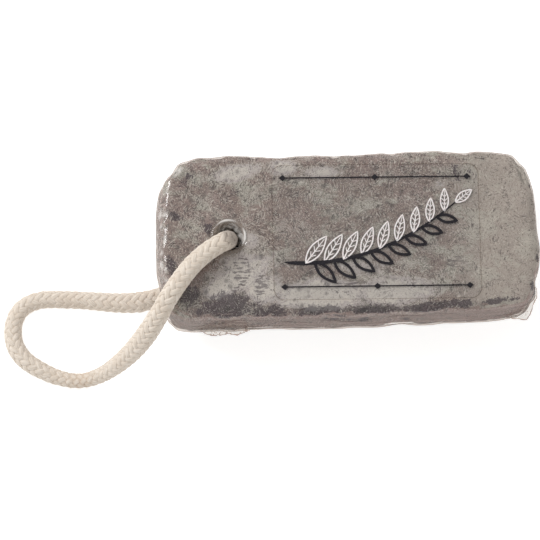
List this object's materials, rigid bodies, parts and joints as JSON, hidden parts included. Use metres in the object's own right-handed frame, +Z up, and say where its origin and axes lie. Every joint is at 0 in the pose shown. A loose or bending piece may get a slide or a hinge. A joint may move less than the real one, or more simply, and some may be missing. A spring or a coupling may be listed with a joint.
{
  "type": "pumice stone",
  "caption": "Sawn bath pumice bar with worn edges, drilled for a looped cotton cord, still in its clear shrink film with a clear label.",
  "frame": {"origin": "on the surface the stone lies on, under the middle of the wrapped stone's bounding box (cord left out)", "axes": "+Z up, +X along the stone away from its drilled end, +Y across it"},
  "size_m": [0.1549, 0.0639, 0.0367],
  "materials": {
    "pumice": "sawn and worn open-celled volcanic glass, matt",
    "clear_film": "thin clear shrink film, glossy",
    "clear_label_film": null,
    "cotton": "natural cream braided cotton, matt"
  },
  "bodies": {
    "root": {"pumice_stone": "pumice", "shrink_film": "clear_film", "clear_label": "clear_label_film", "cord_loop": "cotton"}
  },
  "joints": []
}
